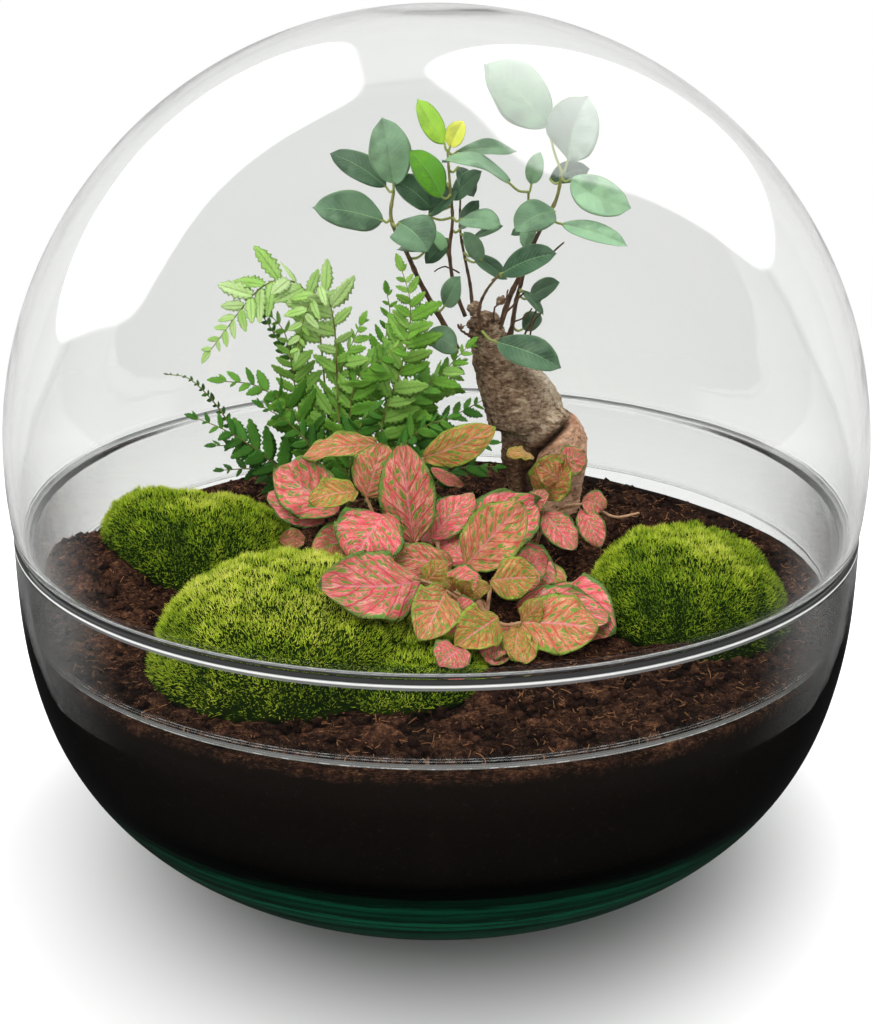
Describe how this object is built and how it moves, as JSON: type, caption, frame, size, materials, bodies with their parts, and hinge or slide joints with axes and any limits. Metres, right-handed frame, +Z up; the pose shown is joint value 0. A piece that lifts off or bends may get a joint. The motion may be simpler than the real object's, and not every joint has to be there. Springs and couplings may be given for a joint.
{
  "type": "glass plant terrarium",
  "caption": "Closed round glass terrarium: a bowl of soil and moss with a ficus, a fern and a pink nerve plant under a lift-off glass dome.",
  "frame": {"origin": "centre of the flat base of the bowl, on the surface it stands on", "axes": "+Z up, -Y towards the front that the plants face, +X to the right seen from the front"},
  "size_m": [0.3, 0.3, 0.3057],
  "materials": {
    "clear_glass": "polished clear blown glass, faint grey tint",
    "green_glass": "polished blown glass, clear at the rim and emerald green where the base is thick",
    "potting_soil": "matte loose dark peat with brown fibres",
    "moss": "matte dense short green blades with yellow-green tips",
    "bark": "matte fissured grey-brown bark",
    "twig": "matte thin brown twigs",
    "ficus_leaf": "satin thick leaf, dark green above and paler below",
    "fern": "matte thin light green leaflets",
    "nerve_stem": "matte thin pinkish-brown stems",
    "nerve_leaf": "matte pink leaf with red veins, green flecks and green edge"
  },
  "bodies": {
    "root": {"glass_dome": "clear_glass", "glass_bowl": "green_glass", "potting_soil": "potting_soil", "moss_back_left": "moss", "moss_front_left": "moss", "moss_right": "moss", "ficus_trunk": "bark", "ficus_branch_1": "twig", "ficus_branch_2": "twig", "ficus_branch_3": "twig", "ficus_branch_4": "twig", "ficus_branch_5": "twig", "ficus_branch_6": "twig", "ficus_leaf_01": "ficus_leaf", "ficus_leaf_02": "ficus_leaf", "ficus_leaf_03": "ficus_leaf", "ficus_leaf_04": "ficus_leaf", "ficus_leaf_05": "ficus_leaf", "ficus_leaf_06": "ficus_leaf", "ficus_leaf_07": "ficus_leaf", "ficus_leaf_08": "ficus_leaf", "ficus_leaf_09": "ficus_leaf", "ficus_leaf_10": "ficus_leaf", "ficus_leaf_11": "ficus_leaf", "ficus_leaf_12": "ficus_leaf", "ficus_leaf_13": "ficus_leaf", "ficus_leaf_14": "ficus_leaf", "ficus_leaf_15": "ficus_leaf", "ficus_leaf_16": "ficus_leaf", "ficus_leaf_17": "ficus_leaf", "ficus_leaf_18": "ficus_leaf", "ficus_leaf_19": "ficus_leaf", "ficus_leaf_20": "ficus_leaf", "ficus_leaf_21": "ficus_leaf", "ficus_leaf_22": "ficus_leaf", "fern_frond_1": "fern", "fern_frond_2": "fern", "fern_frond_3": "fern", "fern_frond_4": "fern", "fern_frond_5": "fern", "fern_frond_6": "fern", "fern_frond_7": "fern", "fern_frond_8": "fern", "nerve_plant_stem_1": "nerve_stem", "nerve_plant_stem_2": "nerve_stem", "nerve_plant_leaf_01": "nerve_leaf", "nerve_plant_leaf_02": "nerve_leaf", "nerve_plant_leaf_03": "nerve_leaf", "nerve_plant_leaf_04": "nerve_leaf", "nerve_plant_leaf_05": "nerve_leaf", "nerve_plant_leaf_06": "nerve_leaf", "nerve_plant_leaf_07": "nerve_leaf", "nerve_plant_leaf_08": "nerve_leaf", "nerve_plant_leaf_09": "nerve_leaf", "nerve_plant_leaf_10": "nerve_leaf", "nerve_plant_leaf_11": "nerve_leaf", "nerve_plant_leaf_12": "nerve_leaf", "nerve_plant_leaf_13": "nerve_leaf", "nerve_plant_leaf_14": "nerve_leaf", "nerve_plant_leaf_15": "nerve_leaf"}
  },
  "joints": []
}
